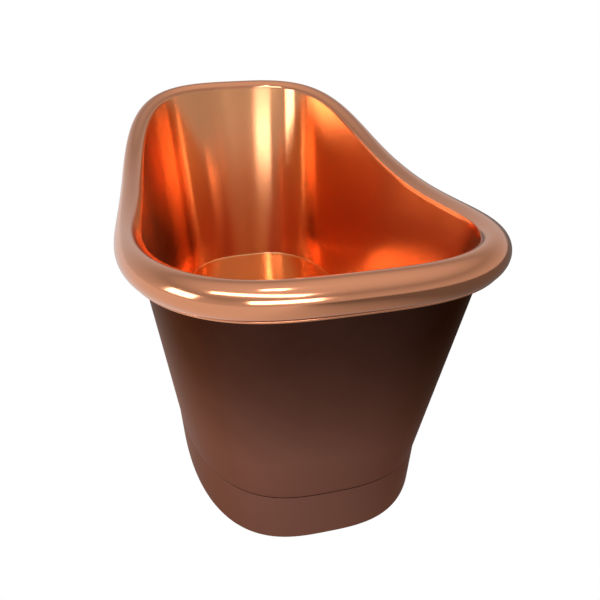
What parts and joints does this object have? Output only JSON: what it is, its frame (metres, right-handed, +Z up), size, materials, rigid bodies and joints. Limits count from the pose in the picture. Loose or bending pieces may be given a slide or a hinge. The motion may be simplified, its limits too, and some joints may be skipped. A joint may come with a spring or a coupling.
{
  "type": "double slipper bathtub",
  "caption": "Freestanding sheet copper bathtub with both ends raised, a rolled rim, an oval plinth, levelling feet and a click waste.",
  "frame": {"origin": "on the floor under the middle of the tub", "axes": "+X along the tub, away from the picture's camera; +Y across it; +Z up"},
  "size_m": [1.694, 0.797, 0.7582],
  "materials": {
    "polished_copper": "polished bare copper",
    "patina_copper": "satin dark brown patina on copper",
    "plywood": "unfinished marine plywood",
    "galvanised_steel": "galvanised",
    "zinc_steel": "zinc plated",
    "waste_copper": "polished copper plate",
    "black_rubber": "matt",
    "spring_steel": "bright wire",
    "nylon": "moulded"
  },
  "bodies": {
    "tub": {"inner_wall": "polished_copper", "floor_pan": "polished_copper", "rolled_rim": "polished_copper", "outer_skin": "patina_copper", "plinth_band": "patina_copper", "support_board": "plywood", "cross_rail_near": "galvanised_steel", "cross_rail_far": "galvanised_steel", "long_rail_left": "galvanised_steel", "long_rail_right": "galvanised_steel", "brace_near": "galvanised_steel", "brace_far": "galvanised_steel", "edge_brackets": "galvanised_steel", "waste_body": "waste_copper", "waste_top_seal": "black_rubber", "waste_bottom_seal": "black_rubber", "waste_backnut": "waste_copper", "cartridge_sleeve": "waste_copper", "cartridge_spring": "spring_steel"},
    "plug": {"plug_cap": "waste_copper", "plug_seal": "black_rubber", "plug_stem": "waste_copper"},
    "nut_1": {"foot_nut_1": "zinc_steel"},
    "foot_1": {"foot_stud_1": "zinc_steel", "foot_pad_1": "nylon"},
    "nut_2": {"foot_nut_2": "zinc_steel"},
    "foot_2": {"foot_stud_2": "zinc_steel", "foot_pad_2": "nylon"},
    "nut_3": {"foot_nut_3": "zinc_steel"},
    "foot_3": {"foot_stud_3": "zinc_steel", "foot_pad_3": "nylon"},
    "nut_4": {"foot_nut_4": "zinc_steel"},
    "foot_4": {"foot_stud_4": "zinc_steel", "foot_pad_4": "nylon"}
  },
  "joints": [
    {"name": "plug_slide", "type": "slide", "parent": "tub", "child": "plug", "axis": [0, 0, 1], "range_m": [0, 0.008], "deforming": ["cartridge_spring"]},
    {"name": "nut_turn_1", "type": "hinge", "parent": "tub", "child": "nut_1", "pos_m": [-0.4, -0.19, 0.051], "axis": [0, 0, 1], "range_deg": [-420, 3100]},
    {"name": "foot_lift_1", "type": "slide", "parent": "tub", "child": "foot_1", "axis": [0, 0, 1], "range_m": [-0.015, 0.002]},
    {"name": "nut_turn_2", "type": "hinge", "parent": "tub", "child": "nut_2", "pos_m": [-0.4, 0.19, 0.051], "axis": [0, 0, 1], "range_deg": [-420, 3100]},
    {"name": "foot_lift_2", "type": "slide", "parent": "tub", "child": "foot_2", "axis": [0, 0, 1], "range_m": [-0.015, 0.002]},
    {"name": "nut_turn_3", "type": "hinge", "parent": "tub", "child": "nut_3", "pos_m": [0.4, -0.19, 0.051], "axis": [0, 0, 1], "range_deg": [-420, 3100]},
    {"name": "foot_lift_3", "type": "slide", "parent": "tub", "child": "foot_3", "axis": [0, 0, 1], "range_m": [-0.015, 0.002]},
    {"name": "nut_turn_4", "type": "hinge", "parent": "tub", "child": "nut_4", "pos_m": [0.4, 0.19, 0.051], "axis": [0, 0, 1], "range_deg": [-420, 3100]},
    {"name": "foot_lift_4", "type": "slide", "parent": "tub", "child": "foot_4", "axis": [0, 0, 1], "range_m": [-0.015, 0.002]}
  ],
  "couplings": [
    {"joint": "nut_turn_1", "follows": "foot_lift_1", "rad_per_m": -3590.4},
    {"joint": "nut_turn_2", "follows": "foot_lift_2", "rad_per_m": -3590.4},
    {"joint": "nut_turn_3", "follows": "foot_lift_3", "rad_per_m": -3590.4},
    {"joint": "nut_turn_4", "follows": "foot_lift_4", "rad_per_m": -3590.4}
  ]
}
